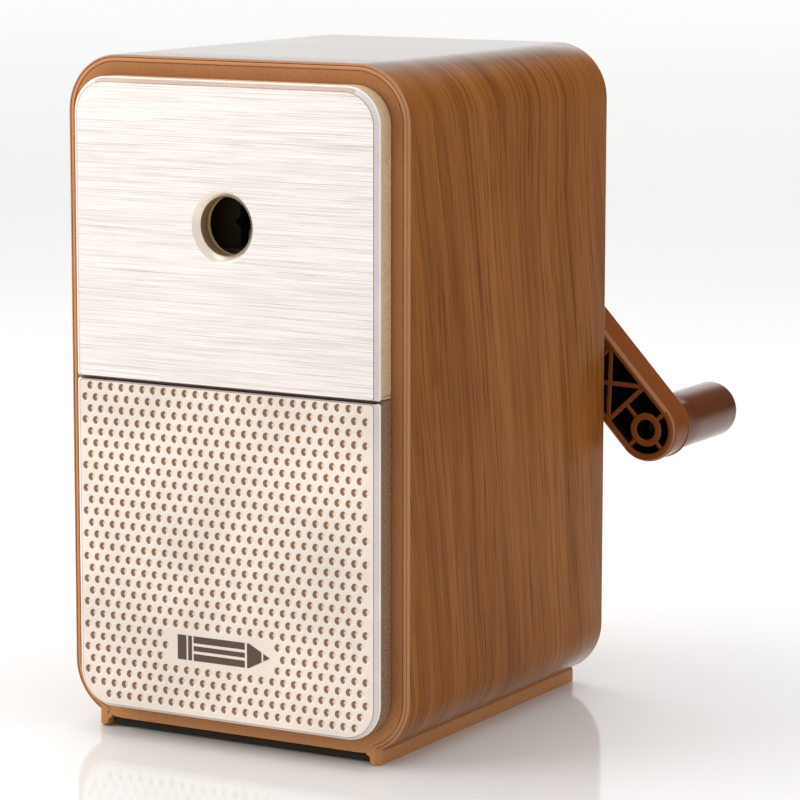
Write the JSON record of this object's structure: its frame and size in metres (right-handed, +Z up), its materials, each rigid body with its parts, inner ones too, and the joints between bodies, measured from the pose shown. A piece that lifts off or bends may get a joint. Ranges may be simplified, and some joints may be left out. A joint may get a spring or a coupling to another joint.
{
  "type": "pencil sharpener",
  "caption": "Hand-crank desktop pencil sharpener with a wood-grain casing, a pull-out brushed faceplate with a pencil hole, and a perforated-look shavings drawer.",
  "frame": {"origin": "on the surface it stands on, under the middle of the whole object's box (the crank reaches past the casing to +X and +Y)", "axes": "+Z up; the faceplate with the pencil hole looks to -Y; the crank is at the back, towards +Y, and its grip is at rest low on the +X side"},
  "size_m": [0.0852, 0.1182, 0.127],
  "materials": {
    "wood_grain_film": "walnut wood-grain film under a satin clear coat",
    "tan_plastic": "fine satin, tan brown",
    "brushed_champagne": "horizontally brushed, champagne anodised",
    "beige_plastic": "matte with a fine sparkle",
    "cream_plastic": "fine textured cream",
    "tea_plastic": "tea-brown, slightly see-through",
    "brown_plastic": "glossy reddish brown",
    "black_plastic": "satin black",
    "grey_plastic": "matte dark grey",
    "white_acetal": "natural white acetal",
    "steel": "bright machined steel",
    "spring_steel": "drawn spring wire",
    "brass": "turned brass"
  },
  "bodies": {
    "casing": {"casing_sleeve": "wood_grain_film", "front_bezel": "tan_plastic", "rear_cover": "tan_plastic", "base_plate": "tan_plastic", "base_screw_1": "steel", "base_screw_2": "steel", "base_screw_3": "steel", "base_screw_4": "steel", "rear_screw_1": "steel", "rear_screw_2": "steel", "rear_screw_3": "steel", "rear_screw_4": "steel", "drawer_rail_left": "grey_plastic", "drawer_rail_right": "grey_plastic", "mechanism_frame": "grey_plastic", "ring_gear": "white_acetal", "gear_screw_1": "steel", "gear_screw_2": "steel", "shaft_bushing": "brass", "feed_spring_left": "spring_steel", "feed_spring_right": "spring_steel"},
    "feed_carriage": {"faceplate_skin": "brushed_champagne", "faceplate_carrier": "beige_plastic", "jaw_retainer": "grey_plastic", "retainer_screw_1": "steel", "retainer_screw_2": "steel", "retainer_screw_3": "steel", "retainer_screw_4": "steel", "guide_rod_left": "steel", "guide_rod_right": "steel", "rod_clip_left": "steel", "rod_clip_right": "steel", "jaw_spring": "spring_steel"},
    "jaw_left": {"jaw_left": "black_plastic"},
    "jaw_right": {"jaw_right": "black_plastic"},
    "crank": {"crank_arm": "brown_plastic", "crank_shaft": "steel", "crank_screw": "steel", "grip_pin": "steel", "cutter_cage": "grey_plastic", "cutter_axle": "steel"},
    "cutter": {"helical_cutter": "steel", "cutter_pinion": "white_acetal"},
    "grip": {"crank_grip": "brown_plastic"},
    "drawer": {"drawer_front": "cream_plastic", "drawer_tray": "tea_plastic"}
  },
  "joints": [
    {"name": "crank_spin", "type": "hinge", "parent": "casing", "child": "crank", "pos_m": [-0.00662, 0.01525, 0.0971], "axis": [0, 1, 0], "continuous": true},
    {"name": "cutter_spin", "type": "hinge", "parent": "crank", "child": "cutter", "pos_m": [-0.00662, 0.02125, 0.0971], "axis": [0, 0.9848, -0.1736], "continuous": true},
    {"name": "grip_spin", "type": "hinge", "parent": "crank", "child": "grip", "pos_m": [0.03621, 0.04525, 0.05117], "axis": [0, 1, 0], "continuous": true},
    {"name": "faceplate_pull", "type": "slide", "parent": "casing", "child": "feed_carriage", "axis": [0, -1, 0], "range_m": [0, 0.03], "stiffness_N_per_m": 120, "springref_m": -0.02, "deforming": ["feed_spring_left", "feed_spring_right"]},
    {"name": "jaw_left_slide", "type": "slide", "parent": "feed_carriage", "child": "jaw_left", "axis": [1, 0, 0], "range_m": [0, 0.0034], "stiffness_N_per_m": 300, "springref_m": -0.004, "deforming": ["jaw_spring"]},
    {"name": "jaw_right_slide", "type": "slide", "parent": "feed_carriage", "child": "jaw_right", "axis": [1, 0, 0], "range_m": [-0.0034, 0]},
    {"name": "drawer_slide", "type": "slide", "parent": "casing", "child": "drawer", "axis": [0, -1, 0], "range_m": [0, 0.06]}
  ],
  "couplings": [
    {"joint": "cutter_spin", "follows": "crank_spin", "ratio": -3},
    {"joint": "jaw_right_slide", "follows": "jaw_left_slide", "ratio": -1}
  ]
}
